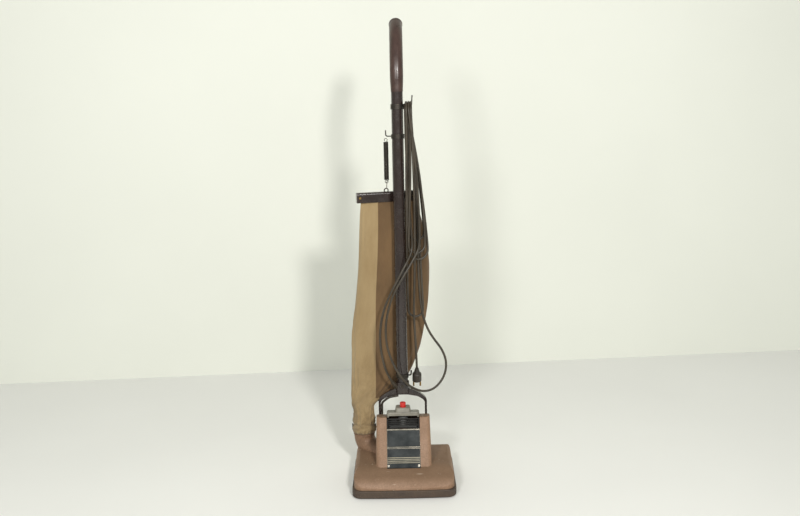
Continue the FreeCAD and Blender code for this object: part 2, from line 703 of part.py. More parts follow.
def roll_bearings():
    """Two blocks that hold the roll's journals in the hood."""
    blocks = []
    for side in (-1, 1):
        inner = side * (ROLL_HALF + 1)
        outer = side * (ROLL_HALF + 15)
        block = plate_x([(ROLL_Y - 12, ROLL_Z - 12), (ROLL_Y + 12, ROLL_Z - 12), (ROLL_Y + 12, ROLL_Z + 14),
                         (ROLL_Y - 12, ROLL_Z + 14)], [3] * 4, min(inner, outer), max(inner, outer))
        bore = rod_x(4 + FIT, min(inner, side * (ROLL_HALF + 8)) - 1, max(inner, side * (ROLL_HALF + 8)) + 1,
                     ROLL_Y, ROLL_Z)
        blocks.append(block.cut(bore))
    return group(blocks)


# ---- exhaust elbow and neck ----
def exhaust_elbow():
    """Bent duct from the fan chamber to the bag's neck, with a bead under the neck."""
    path = elbow_path()
    duct = along(path, ELBOW_R)
    bead = Part.makeTorus(ELBOW_R - 0.5, 2.2, V(NECK_X, NECK_Y, ELBOW_TOP - 6))
    shape = join([duct, bead])
    shape = shape.cut(along(path, ELBOW_R - 2.4))
    return shape.common(box(-160, -62, -80, 80, 45, 140))


def neck_sleeve():
    """Gathered end of the bag's cloth around the elbow's mouth, on the base's side of the fold."""
    low = ELBOW_TOP + 0.3
    return ring_z(NECK_R, NECK_R - 3, low, SLEEVE_TOP, NECK_X, NECK_Y)


def neck_clamp():
    """Spring band around the gathered neck, with two bent ears."""
    z0 = ELBOW_TOP + 8
    band = ring_z(NECK_R + 2.2, NECK_R + 0.1, z0, z0 + 5, NECK_X, NECK_Y)
    ears = []
    for side in (-1, 1):
        x = NECK_X + side * (NECK_R + 1)
        ears.append(plate_y([(x, z0 + 1), (x + side * 4.5, z0 + 3), (x + side * 5.5, z0 + 14),
                             (x + side * 3.5, z0 + 14), (x + side * 2, z0 + 6)], [0, 2, 1, 1, 1],
                            NECK_Y - 4, NECK_Y + 4))
    return join([band] + ears)


# ---- pivots ----
def pivot_bracket():
    """Plate bolted to the tower's back with two lugs for the fork's pins."""
    plate = plate_y([(-LUG_OUT, 126), (LUG_OUT, 126), (LUG_OUT, 156), (-LUG_OUT, 156)], [6] * 4,
                    TOWER_REAR + 0.05, TOWER_REAR + 4)
    opening = box(-42, 42, TOWER_REAR - 2, TOWER_REAR + 6, 131, 151)
    outline = [(TOWER_REAR + 0.05, 126), (PIVOT_Y, PIVOT_Z - 14), (PIVOT_Y + 14, PIVOT_Z),
               (PIVOT_Y, PIVOT_Z + 14), (TOWER_REAR + 0.05, 156)]
    lugs = both_sides(plate_x(outline, [0, 11, 11, 11, 0], LUG_IN, LUG_OUT))
    body = join([plate.cut(opening)] + lugs)
    return body.cut(rod_x(6.5, -80, 80, PIVOT_Y, PIVOT_Z))


def pivot_bushes():
    """Bronze bushes in the two lugs."""
    return group(both_sides(ring_x(6.5, PIN_R + FIT, LUG_IN, LUG_OUT, PIVOT_Y, PIVOT_Z)))


# ---- handle: drawn upright with the pivot axis as origin, then leaned back ----
def lean(shape):
    """Moves a shape drawn about the pivot axis to its place on the machine."""
    moved = shape.copy()
    moved.rotate(V(0, 0, 0), V(1, 0, 0), -LEAN)
    moved.translate(V(0, PIVOT_Y, PIVOT_Z))
    return moved


def fork():
    """Forged bail: two arms with eyes, an arch over the cap and the socket for the tube."""
    outer = [(-ARM_OUT, 0), (-ARM_OUT, 62), (-49, 79), (-16, 94),
             (16, 94), (49, 79), (ARM_OUT, 62), (ARM_OUT, 0)]
    inner = [(ARM_IN, 0), (ARM_IN, 56), (43, 69), (14, CROWN),
             (-14, CROWN), (-43, 69), (-ARM_IN, 56), (-ARM_IN, 0)]
    arch = plate_y(outer + inner, [0, 17, 50, 6, 6, 50, 17, 0, 0, 15, 40, 30, 30, 40, 15, 0],
                   -ARM_DEEP / 2, ARM_DEEP / 2)
    socket = rod_z(SOCKET_R, 80, SOCKET_TOP, 0, 0)
    bore = rod_z(TUBE_R + 0.02, TUBE_LOW, SOCKET_TOP + 1, 0, 0)
    eyes = both_sides(rod_x(10, ARM_IN - 1, ARM_OUT, 0, 0))
    body = join([arch, socket] + eyes)
    return body.cut(bore).cut(rod_x(PIN_R, -80, 80, 0, 0)).cut(rod_y(3.02, -30, 30, 0, BOLT_H))


def pivot_pins():
    """Two headed pins, fixed in the fork's eyes and turning in the bushes."""
    shank = rod_x(PIN_R, 46, ARM_OUT, 0, 0)
    head = rod_x(7, ARM_OUT, ARM_OUT + 2.5, 0, 0)
    return group(both_sides(join([shank, head])))


def bent_section(radius):
    """Solid round bar of the handle's bend at the top of the straight tube."""
    circle = Part.Face(Part.Wire(Part.makeCircle(radius, V(0, 0, TUBE_BEND), V(0, 0, 1))))
    return circle.revolve(V(0, BEND_R, TUBE_BEND), V(1, 0, 0), -BEND_ANGLE)


def handle_tube():
    """Long steel tube, straight up to the bend and curved back at the grip."""
    outer = join([rod_z(TUBE_R, TUBE_LOW, TUBE_BEND, 0, 0), bent_section(TUBE_R)])
    inner = join([rod_z(TUBE_R - TUBE_WALL, TUBE_LOW - 1, TUBE_BEND, 0, 0), bent_section(TUBE_R - TUBE_WALL)])
    tube = outer.cut(inner)
    return tube.cut(rod_y(3.02, -30, 30, 0, BOLT_H))


def bend_end():
    """Centre and direction of the grip's open end."""
    angle = math.radians(BEND_ANGLE)
    centre = V(0, BEND_R - BEND_R * math.cos(angle), TUBE_BEND + BEND_R * math.sin(angle))
    return centre, V(0, math.sin(angle), math.cos(angle))


def grip_cap():
    """Moulded hand grip over the bend, thinned at its lower end, with a domed end wider than the tube."""
    centre, outward = bend_end()
    sleeve = join([Part.makeCone(TUBE_R + 0.5, GRIP_R, GRIP_TAPER, V(0, 0, TUBE_BEND - GRIP_TAPER)),
                   bent_section(GRIP_R)])
    rim = rod(GRIP_R + 0.8, centre - outward * 0.5, centre + outward * 7)
    far = [edge for edge in rim.Edges if edge.Length > 60 and
           (edge.CenterOfMass - centre).dot(outward) > 5]
    shell = join([sleeve, rim.makeFillet(3, far)])
    shell = shell.cut(rod_z(GRIP_BORE, TUBE_BEND - GRIP_TAPER - 1, TUBE_BEND, 0, 0))
    shell = shell.cut(bent_section(GRIP_BORE))
    plug = rod(TUBE_R - TUBE_WALL - 0.5, centre - outward * 8, centre + outward * 2)
    return join([shell, plug])


def handle_bolts():
    """Bolt and nut through the socket and tube, and the clamping screws of the three bands."""
    shank = rod_y(3, -SOCKET_R - 2, SOCKET_R + 6, 0, BOLT_H)
    head = rod_y(5.5, -SOCKET_R - 3.5, -SOCKET_R, 0, BOLT_H)
    corners = []
    for step in range(6):
        angle = math.radians(60 * step)
        corners.append((5.5 * math.cos(angle), BOLT_H + 5.5 * math.sin(angle)))
    nut = plate_y(corners, [0] * 6, SOCKET_R, SOCKET_R + 4)
    screws = [rod_y(3, BAND_R, BAND_R + 2.4, 0, height) for height in (HOOK_H, LOWER_HOOK_H, SPRING_H)]
    return group([join([shank, head, nut])] + screws)


def upper_cord_hook():
    """Wire hook on a band around the tube; the arm goes to the right and turns up."""
    wire = along(rounded_wire([V(TUBE_R + 1, 0, HOOK_H), V(39, 0, HOOK_H), V(41, 0, HOOK_H + 30)], [0, 7, 0],
                              closed=False), HOOK_WIRE_R)
    band = ring_z(BAND_R, TUBE_R + 0.03, HOOK_H - 7, HOOK_H + 7, 0, 0)
    return join([wire, band])


def lower_cord_hook():
    """Short bar to the right of the tube above the socket, turned up at its end."""
    wire = along(rounded_wire([V(TUBE_R + 1, 0, LOWER_HOOK_H), V(25, 0, LOWER_HOOK_H),
                               V(26, 0, LOWER_HOOK_H + 14)], [0, 4, 0], closed=False), 2.2)
    band = ring_z(BAND_R, TUBE_R + 0.03, LOWER_HOOK_H - 6, LOWER_HOOK_H + 6, 0, 0)
    return join([wire, band])


# ---- bag and what holds it ----
def spring_bracket():
    """Band with a wire arm to the left and back that carries the bag's spring."""
    wire = along(rounded_wire([V(-12, 13, SPRING_H), V(SPRING_X - 3, SPRING_Y, SPRING_H),
                               V(SPRING_X - 3, SPRING_Y, SPRING_H + 16)], [0, 5, 0], closed=False), 1.6)
    band = ring_z(BAND_R, TUBE_R + 0.03, SPRING_H - 6, SPRING_H + 6, 0, 0)
    return join([wire, band])


def world(x, y, height):
    """Point drawn about the pivot axis, at its place on the machine."""
    angle = math.radians(LEAN)
    return V(x, PIVOT_Y + y * math.cos(angle) + height * math.sin(angle),
             PIVOT_Z + height * math.cos(angle) - y * math.sin(angle))


def spring_axis():
    """X and Y of the spring's upright axis."""
    top = world(SPRING_X - 3, SPRING_Y, SPRING_H)
    return top.x, top.y


def bag_spring():
    """Closely wound coil spring with a loop at each end, drawn as a hollow barrel."""
    x, y = spring_axis()
    barrel = ring_z(SPRING_R, SPRING_R - 1.4, SPRING_LOW_Z, SPRING_TOP_Z - 10, x, y)
    low_loop = Part.makeTorus(4.6, 0.9, V(x, y, SPRING_LOW_Z - 4.2), V(0, 1, 0))
    cap_low = rod_z(SPRING_R, SPRING_LOW_Z - 0.2, SPRING_LOW_Z + 1.2, x, y)
    cap_top = rod_z(SPRING_R, SPRING_TOP_Z - 11, SPRING_TOP_Z - 9, x, y)
    top_loop = Part.makeTorus(4.6, 0.9, V(x, y, SPRING_TOP_Z - 5.2), V(0, 1, 0))
    return join([barrel, cap_low, cap_top, low_loop, top_loop])


def spring_ring():
    """Split ring that joins the spring to the eye on the bag bar."""
    x, y = spring_axis()
    return Part.makeTorus(7.4, 1.1, V(x, y, SPRING_LOW_Z - 13.2), V(1, 0, 0))


def bar_place(shape):
    """Turns a shape drawn along X from the bar's left end to the bar's place."""
    moved = shape.copy()
    moved.rotate(V(0, 0, 0), V(0, 0, 1), BAR_YAW)
    moved.translate(V(BAR_LEFT, BAR_Y, 0))
    return moved


def bag_bar():
    """Folded metal channel that clamps the bag's top edge, with the eye for the ring."""
    outer = plate_x([(0, BAR_LOW), (0, BAR_TOP), (BAR_DEEP, BAR_TOP), (BAR_DEEP, BAR_LOW)], [0, 6, 6, 0],
                    0, BAR_LENGTH)
    inner = plate_x([(1.6, BAR_LOW - 1), (1.6, BAR_TOP - 1.6), (BAR_DEEP - 1.6, BAR_TOP - 1.6),
                     (BAR_DEEP - 1.6, BAR_LOW - 1)], [0, 4, 4, 0], 1.2, BAR_LENGTH - 1.2)
    x, y = spring_axis()
    along_bar = (x - BAR_LEFT) / math.cos(math.radians(BAR_YAW))
    eye = Part.makeTorus(5.5, 1.6, V(along_bar, BAR_DEEP / 2, BAR_TOP + 3.2), V(0, 1, 0))
    return bar_place(join([outer.cut(inner), eye]))


def bar_rivets():
    """Four brass rivets, two through each end of the bar."""
    rivets = []
    for x in (9, BAR_LENGTH - 9):
        rivets.append(rod_y(3.4, -1.3, -0.02, x, (BAR_LOW + BAR_TOP) / 2))
        rivets.append(rod_y(3.4, BAR_DEEP + 0.02, BAR_DEEP + 1.3, x, (BAR_LOW + BAR_TOP) / 2))
    return bar_place(group(rivets))


# Sections of the filled bag: height, left and right edge, middle of its depth, half its depth, and
# the degrees by which its right edge is turned back.
BAG_SECTIONS = [
    (172, -140, -84, 22, 23, 0),
    (186, -145, -82, 38, 25, 0),
    (210, -147, -32, 67, 24, 2),
    (250, -146, 16, 86, 26, 4),
    (330, -143, 54, 96, 29, 6),
    (385, -140, 66, 101, 31, 8),
    (480, -130, 80, 105, 32, 9),
    (570, -121, 85, 106, 32, 10),
    (650, -116, 76, 103, 27, 11),
    (730, -111, 58, 97, 15, 12),
    (757, -108, 46, 94, 6, 12),
]


def dust_bag():
    """Filled cloth bag as one closed solid, from just above the neck's fold up into the bar."""
    sections = []
    for z, left, right, middle, half_y, yaw in BAG_SECTIONS:
        half_x = (right - left) / 2
        centre = V((left + right) / 2, middle, z)
        wire = Part.Wire(Part.Ellipse(centre, half_x, half_y).toShape().toNurbs().Edges)
        wire.rotate(centre, V(0, 0, 1), yaw)
        sections.append(wire)
    return Part.makeLoft(sections, True, False)


# ---- lead cable and mains cord ----
def lead_cable():
    """Supply lead held along the inner side of the fork's left arm, from the crown to the eye."""
    x = -(ARM_IN - CORD_R - 0.1)
    path = rounded_wire([V(-12, 0, CROWN - 4), V(-40, 0, 65), V(x, 0, 49), V(x, 0, 15)],
                        [0, 30, 14, 0], closed=False)
    return along(path, CORD_R)


def gland_axis():
    """Start and end of the cord gland on the left of the socket."""
    start = world(-SOCKET_R + 2, -6, 98)
    direction = V(-0.5, -0.35, 0.79).normalize()
    return start, start + direction * 25


def cord_gland():
    """Tapered rubber strain relief where the mains cord leaves the fork's socket."""
    start, end = gland_axis()
    cone = Part.makeCone(8.0, CORD_R + 1.2, (end - start).Length, start, end - start)
    socket = lean(rod_z(SOCKET_R + 0.02, 70, SOCKET_TOP + 10, 0, 0))
    return cone.cut(socket)


def hank_section(z, left, right, front, back):
    corners = [V(left, front, z), V(right, front, z), V(right, back, z), V(left, back, z)]
    radius = min(right - left, back - front) * 0.45
    return rounded_wire(corners, [radius] * 4)


# Sections of the hank: height, left and right edge, front and back.
HANK_SECTIONS = [
    (431, 20, 48, 36, 56),
    (500, 18, 56, 38, 62),
    (596, 18, 72, 40, 69),
    (650, 18, 82, 40, 75),
    (760, 18, 74, 46, 84),
    (880, 19.5, 60, 48, 92),
    (985, 20, 49, 50, 96),
    (1038, 19, 42, 58, 90),
]


def cord_hank():
    """Outer shape of the loose hank of cord that hangs over the upper hook."""
    return Part.makeLoft([hank_section(*row) for row in HANK_SECTIONS], True, True)


CORD_RISER = [
    (-40, 11, 278), (-49, 8, 304), (-56, 7, 338), (-60, 7, 376), (-59, 8, 416), (-52, 9, 456),
    (-39, 11, 494), (-22, 12, 528), (-4, 14, 562), (14, 22, 594), (28, 38, 616), (36, 50, 640),
]
CORD_LOOP = [
    (56, 46, 640), (36, 34, 606), (14, 20, 572), (-8, 13, 538), (-27, 12, 500), (-40, 10, 452),
    (-45, 9, 408), (-41, 8, 362), (-30, 6, 326), (-14, 0, 292), (6, -3, 263), (30, 0, 242),
    (56, 8, 229), (84, 16, 230), (108, 24, 248), (124, 30, 278), (126, 34, 312), (114, 38, 344),
    (94, 42, 370), (76, 46, 398), (62, 50, 436), (55, 54, 484), (52, 57, 536), (50, 58, 600),
]
CORD_DROP = [(36, 44, 452), (37, 38, 415), (39, 31, 375), (41, 28, 332), (42, 38, 288)]


def cord_tube(points, name):
    """Round cord along straight runs joined by tangent arcs, each as large as its runs allow."""
    route = [V(*point) for point in points]
    radii = [0]
    for before, corner, after in zip(route, route[1:], route[2:]):
        shorter = min((corner - before).Length, (after - corner).Length)
        turn = (corner - before).getAngle(after - corner)
        radii.append(0.45 * shorter / math.tan(turn / 2))
    radii.append(0)
    wire = rounded_wire(route, radii, closed=False)
    tube = along(wire, CORD_R)
    ratio = tube.Volume / (math.pi * CORD_R ** 2 * wire.Length)
    print(f"{name}: length {wire.Length:.0f}, volume ratio {ratio:.3f}, radii",
          [round(radius) for radius in radii[1:-1]])
    return tube


def cord_riser():
    start, end = gland_axis()
    return cord_tube([tuple(end)] + CORD_RISER, "cord_riser")


def cord_loop():
    return cord_tube(CORD_LOOP, "cord_loop")


def cord_drop():
    return cord_tube(CORD_DROP, "cord_drop")


# ---- plug, hanging with its pins down ----
def hang(shape):
    """Tilts a piece of the plug, so that it hangs with its pins pointing down and to the rear."""
    return shape.rotate(V(PLUG_X, PLUG_Y, PLUG_TOP), V(1, 0, 0), PLUG_TILT)


def plug_body():
    """Rubber plug: a neck that widens to a round head with a flat face below."""
    neck = Part.makeCone(5.0, 9.0, 16, V(PLUG_X, PLUG_Y, PLUG_TOP), V(0, 0, -1))
    head = rod_z(PLUG_R, PLUG_LOW, PLUG_TOP - 16 + FUSE, PLUG_X, PLUG_Y)
    upper_rim = [edge for edge in head.Edges if edge.BoundBox.ZMin > PLUG_LOW + 1 and edge.Length > 60]
    return hang(join([neck, head.makeFillet(5, upper_rim)]))


def plug_pins():
    """Two round pins under the plug."""
    pins = []
    for side in (-1, 1):
        x = PLUG_X + side * PLUG_PIN_APART / 2
        pins.append(hang(rod_z(PLUG_PIN_R, PLUG_LOW - PLUG_PIN_LENGTH, PLUG_LOW, x, PLUG_Y)))
    return group(pins)


# ---- all pieces ----
LEANING = {
    "fork": fork, "pivot_pins": pivot_pins, "handle_tube": handle_tube, "grip_cap": grip_cap,
    "handle_bolts": handle_bolts, "upper_cord_hook": upper_cord_hook, "lower_cord_hook": lower_cord_hook,
    "spring_bracket": spring_bracket, "lead_cable": lead_cable,
}
STANDING = {
    "hood": hood, "bumper": bumper, "front_panel": front_panel, "panel_trim": panel_trim,
    "panel_ribs": panel_ribs, "vent_louvres": vent_louvres, "panel_screws": panel_screws,
    "motor_cap": motor_cap, "switch_button": switch_button, "button_spring": button_spring,
    "switch_body": switch_body, "chassis": chassis, "sole_plate": sole_plate, "sole_screws": sole_screws,
    "wheel_axles": wheel_axles, "fan_cover": fan_cover, "bearing_bridge": bearing_bridge,
    "motor_bearings": motor_bearings,
    "stator_core": stator_core, "field_coils": field_coils, "armature": armature,
    "motor_shaft": motor_shaft, "commutator": commutator, "carbon_brushes": carbon_brushes,
    "impeller": impeller, "drive_pulley": drive_pulley,
    "drive_belt": drive_belt, "brush_roll": brush_roll, "bristle_rows": bristle_rows,
    "roll_bearings": roll_bearings, "exhaust_elbow": exhaust_elbow, "neck_sleeve": neck_sleeve,
    "neck_clamp": neck_clamp, "pivot_bracket": pivot_bracket, "pivot_bushes": pivot_bushes,
    "bag_spring": bag_spring, "spring_ring": spring_ring, "bag_bar": bag_bar, "bar_rivets": bar_rivets,
    "dust_bag": dust_bag, "cord_gland": cord_gland, "cord_riser": cord_riser, "cord_hank": cord_hank,
    "cord_loop": cord_loop, "cord_drop": cord_drop, "plug_body": plug_body, "plug_pins": plug_pins,
}


def main():
    shapes = {name: make() for name, make in STANDING.items()}
    for name, make in LEANING.items():
        shapes[name] = lean(make())
    for side, word in ((-1, "left"), (1, "right")):
        shapes[f"front_wheel_{word}"] = front_wheel(side)
        shapes[f"rear_wheel_{word}"] = rear_wheel(side)
    for name, shape in shapes.items():
        shape.exportStep(f"parts/{name}.step")
    return shapes


SHAPES = main()
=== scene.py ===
import json
import math

import bpy
from mathutils import Matrix, Vector, noise


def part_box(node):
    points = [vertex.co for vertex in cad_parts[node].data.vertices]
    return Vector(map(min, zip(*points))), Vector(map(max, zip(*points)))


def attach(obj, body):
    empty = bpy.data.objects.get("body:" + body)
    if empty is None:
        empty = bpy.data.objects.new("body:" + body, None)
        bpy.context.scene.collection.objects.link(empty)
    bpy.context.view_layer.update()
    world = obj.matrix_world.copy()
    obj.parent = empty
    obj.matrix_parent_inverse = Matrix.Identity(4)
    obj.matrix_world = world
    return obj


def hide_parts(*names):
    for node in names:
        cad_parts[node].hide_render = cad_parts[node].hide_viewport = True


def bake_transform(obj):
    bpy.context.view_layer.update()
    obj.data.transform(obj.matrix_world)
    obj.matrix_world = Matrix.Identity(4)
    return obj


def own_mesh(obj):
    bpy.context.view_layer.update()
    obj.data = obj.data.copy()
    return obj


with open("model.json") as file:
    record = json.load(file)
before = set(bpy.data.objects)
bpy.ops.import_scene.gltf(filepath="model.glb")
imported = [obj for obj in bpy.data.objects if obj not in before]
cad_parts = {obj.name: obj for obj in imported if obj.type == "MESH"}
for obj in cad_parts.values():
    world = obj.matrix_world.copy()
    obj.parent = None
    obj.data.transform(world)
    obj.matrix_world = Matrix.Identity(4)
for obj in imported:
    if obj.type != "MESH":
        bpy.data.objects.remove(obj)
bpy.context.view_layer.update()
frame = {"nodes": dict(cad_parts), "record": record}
MM = 0.001


def mm(x, y, z):
    """A point given in millimetres, in metres."""
    return Vector((x * MM, y * MM, z * MM))


def collect(obj):
    """Puts a new object into the scene."""
    bpy.context.scene.collection.objects.link(obj)
    return obj


# ---- camera ----
CAMERA_PLACE = (0.0, -2.511, 1.20)
CAMERA_DOWN = 13.0
CAMERA_ROLL = -1.1
FOCAL_LENGTH = 42.435


def make_camera():
    data = bpy.data.cameras.new("view_camera")
    data.sensor_width = 36
    data.lens = FOCAL_LENGTH
    data.clip_end = 50
    camera = collect(bpy.data.objects.new("view_camera", data))
    tilt = Matrix.Rotation(math.radians(90 - CAMERA_DOWN), 4, "X")
    roll = Matrix.Rotation(math.radians(CAMERA_ROLL), 4, "Z")
    camera.matrix_world = Matrix.Translation(CAMERA_PLACE) @ tilt @ roll
    bpy.context.scene.camera = camera
    bpy.context.scene.view_settings.view_transform = "Standard"


make_camera()

# ---- node helpers ----
FINISHES = {}                # material of each slot


class Look:
    """A material with short calls for the nodes that the finishes share."""

    def __init__(self, name, coords="Object"):
        self.material = bpy.data.materials.new(name)
        FINISHES[name] = self.material
        self.material.use_nodes = True
        self.tree = self.material.node_tree
        self.shader = self.tree.nodes["Principled BSDF"]
        self.coords = self.node("TexCoord").outputs[coords]

    def node(self, kind, **settings):
        made = self.tree.nodes.new("ShaderNode" + kind)
        for key, value in settings.items():
            setattr(made, key, value)
        return made

    def link(self, source, target):
        if isinstance(source, bpy.types.NodeSocket):
            self.tree.links.new(source, target)
        else:
            target.default_value = source

    def stretched(self, x, y, z, tilt=0.0):
        """Coordinates scaled along each axis: a texture is drawn out where the scale is small."""
        mapping = self.node("Mapping")
        self.tree.links.new(self.coords, mapping.inputs["Vector"])
        mapping.inputs["Scale"].default_value = (x, y, z)
        mapping.inputs["Rotation"].default_value = (0, math.radians(tilt), 0)
        return mapping.outputs["Vector"]

    def noise(self, scale, detail=3.0, rough=0.55, vector=None, distort=0.0):
        made = self.node("TexNoise")
        self.tree.links.new(vector or self.coords, made.inputs["Vector"])
        made.inputs["Scale"].default_value = scale
        made.inputs["Detail"].default_value = detail
        made.inputs["Roughness"].default_value = rough
        made.inputs["Distortion"].default_value = distort
        return made.outputs["Fac"]

    def cells(self, scale):
        made = self.node("TexVoronoi")
        self.tree.links.new(self.coords, made.inputs["Vector"])
        made.inputs["Scale"].default_value = scale
        return made.outputs["Distance"]

    def waves(self, scale, direction="X", distort=0.0, vector=None):
        made = self.node("TexWave", wave_type="BANDS", bands_direction=direction)
        self.tree.links.new(vector or self.coords, made.inputs["Vector"])
        made.inputs["Scale"].default_value = scale
        made.inputs["Distortion"].default_value = distort
        return made.outputs["Fac"]

    def fit(self, value, low, high, to_low=0.0, to_high=1.0):
        made = self.node("MapRange")
        made.clamp = True
        self.link(value, made.inputs["Value"])
        made.inputs["From Min"].default_value = low
        made.inputs["From Max"].default_value = high
        made.inputs["To Min"].default_value = to_low
        made.inputs["To Max"].default_value = to_high
        return made.outputs["Result"]

    def sum(self, operation, first, second):
        made = self.node("Math", operation=operation)
        self.link(first, made.inputs[0])
        self.link(second, made.inputs[1])
        return made.outputs[0]

    def axis(self, letter):
        made = self.node("SeparateXYZ")
        self.tree.links.new(self.coords, made.inputs[0])
        return made.outputs[letter]

    def facing_up(self):
        """Upward part of the surface's direction: 1 on level tops."""
        made = self.node("SeparateXYZ")
        self.tree.links.new(self.node("NewGeometry").outputs["Normal"], made.inputs[0])
        return made.outputs["Z"]

    def between(self, letter, low, high, soft):
        """1 where the coordinate lies between low and high, fading over soft."""
        place = self.axis(letter)
        rise = self.fit(place, low - soft, low, 0, 1)
        fall = self.fit(place, high, high + soft, 1, 0)
        return self.sum("MULTIPLY", rise, fall)

    def mix(self, share, first, second):
        made = self.node("Mix", data_type="RGBA")
        self.link(share, made.inputs["Factor"])
        self.link(first, made.inputs[6])
        self.link(second, made.inputs[7])
        return made.outputs[2]

    def bump(self, height, strength, distance, under=None):
        made = self.node("Bump")
        self.link(height, made.inputs["Height"])
        made.inputs["Strength"].default_value = strength
        made.inputs["Distance"].default_value = distance
        if under is not None:
            self.tree.links.new(under, made.inputs["Normal"])
        return made.outputs["Normal"]

    def finish(self, colour, roughness, normal=None, metallic=0.0, coat=0.0, sheen=0.0,
               specular=0.5):
        self.link(colour, self.shader.inputs["Base Color"])
        self.link(roughness, self.shader.inputs["Roughness"])
        self.shader.inputs["Metallic"].default_value = metallic
        self.shader.inputs["Coat Weight"].default_value = coat
        self.shader.inputs["Coat Roughness"].default_value = 0.12
        self.shader.inputs["Sheen Weight"].default_value = sheen
        self.shader.inputs["Specular IOR Level"].default_value = specular
        if normal is not None:
            self.link(normal, self.shader.inputs["Normal"])
        return self.material


def tone(red, green, blue):
    """An 8-bit screen colour as linear light."""
    def light(value):
        value /= 255
        return value / 12.92 if value <= 0.04045 else ((value + 0.055) / 1.055) ** 2.4
    return (light(red), light(green), light(blue), 1.0)


# ---- cord ----
CORD_DIAMETER = 6.5
GLAND_END = (-30.0, 17.4, 258.0)
RISER = [
    (-40, 11, 278), (-49, 8, 304), (-56, 7, 338), (-60, 7, 376), (-59, 8, 416), (-52, 9, 456),
    (-39, 11, 494), (-22, 12, 528), (-4, 14, 562), (14, 22, 594), (28, 38, 616), (36, 50, 640),
]
LOOP = [
    (56, 46, 640), (36, 34, 606), (14, 20, 572), (-8, 13, 538), (-27, 12, 500), (-40, 10, 452),
    (-45, 9, 408), (-41, 8, 362), (-30, 6, 326), (-14, 0, 292), (6, -3, 263), (30, 0, 242),
    (56, 8, 229), (84, 16, 230), (108, 24, 248), (124, 30, 278), (126, 34, 312), (114, 38, 344),
    (94, 42, 370), (76, 46, 398), (62, 50, 436), (55, 54, 484), (52, 57, 536), (50, 58, 600),
]
DROP = [(36, 44, 452), (37, 38, 415), (39, 31, 375), (41, 28, 332), (42, 38, 288)]
HOOK_Y = 73.4
HOOK_CROWN_Z = 1031.0
HOOK_TURN_RADIUS = 22.0
LAYER = 6.3                  # cord on cord, over the hook
HALF_TURN = (0, 30, 60, 90, 120, 150, 180)


def over_hook(x, layer, start_side):
    """Arch of one turn over the hook's wire, from the start side (-1 front, 1 rear) across."""
    radius = HOOK_TURN_RADIUS + LAYER * layer
    middle = HOOK_CROWN_Z + LAYER * layer - radius
    points = []
    for degrees in HALF_TURN:
        angle = math.radians(degrees)
        points.append((x, HOOK_Y + start_side * radius * math.cos(angle),
                       middle + radius * math.sin(angle)))
    return points


def strand(top, bottom, bulge, count=4):
    """Points between two ends of a hanging run, which swings out by bulge on its way."""
    points = []
    for i in range(1, count + 1):
        t = i / (count + 1)
        x = top[0] + (bottom[0] - top[0]) * t + bulge * math.sin(math.pi * t)
        y = top[1] + (bottom[1] - top[1]) * t
        z = top[2] + (bottom[2] - top[2]) * t
        points.append((x, y, z))
    return points


def fold(right, left, bottom, right_y, left_y):
    """Bottom bend of one turn, from its right run to its left one."""
    centre = (right + left) / 2
    half = (right - left) / 2
    points = []
    for degrees in HALF_TURN:
        angle = math.radians(degrees)
        t = degrees / 180
        points.append((centre + half * math.cos(angle), right_y + (left_y - right_y) * t,
                       bottom + half * (1 - math.sin(angle))))
    return points


def joined(parts):
    """The listed stretches one after the other, with a hanging run between each pair."""
    points = list(parts[0])
    for bulge, stretch in parts[1:]:
        points += strand(points[-1], stretch[0], bulge)
        points += stretch
    return points


def hank_turns():
    """Loose turns over the hook, from the riser's end to the start of the low loop."""
    return joined([
        RISER[-1:],
        (-4, over_hook(21.0, 0, -1)),
        (9, fold(79, 26, 602, 66, 47)),
        (-4, over_hook(27.6, 0, -1)),
        (10, fold(71, 24, 622, 59, 41)),
        (3, over_hook(34.2, 0, -1)),
        (2, fold(63, 20, 437, 55, 52)),
        (-2, over_hook(24.4, 1, -1)),
        (7, fold(69, 25, 655, 71, 62)),
        (2, over_hook(31.0, 1, 1)),
        (7, LOOP[:1]),
    ])


def last_turn():
    """From the low loop's end up over the hook and down to the plug's run."""
    return joined([
        LOOP[-1:],
        (4, over_hook(37.0, 1, 1)),
        (6, DROP[:1]),
    ])


def curve_mesh(curve):
    """Mesh of a curve as it stands: a line of points with no bevel, a tube with one."""
    draft = collect(bpy.data.objects.new("draft", curve))
    graph = bpy.context.evaluated_depsgraph_get()
    graph.update()
    mesh = bpy.data.meshes.new_from_object(draft.evaluated_get(graph))
    bpy.data.objects.remove(draft)
    return mesh


def make_cord():
    """The whole cord as one tube: gland, riser, hank, low loop, last turn and drop to the plug."""
    points = [GLAND_END] + RISER[:-1] + hank_turns() + LOOP[1:-1] + last_turn() + DROP[1:]
    curve = bpy.data.curves.new("mains_cord", "CURVE")
    curve.dimensions = "3D"
    spline = curve.splines.new("NURBS")
    spline.points.add(len(points) - 1)
    for control, point in zip(spline.points, points):
        control.co = (*mm(*point), 1)
    spline.order_u = 3
    spline.use_endpoint_u = True
    spline.resolution_u = 8
    path = [vertex.co.copy() for vertex in curve_mesh(curve).vertices]
    curve.bevel_depth = CORD_DIAMETER / 2 * MM
    curve.bevel_resolution = 4
    curve.use_fill_caps = True
    cord = collect(bpy.data.objects.new("mains_cord", curve_mesh(curve)))
    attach(cord, "handle")
    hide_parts("cord_riser", "cord_hank", "cord_loop", "cord_drop")
    return cord


cord = make_cord()

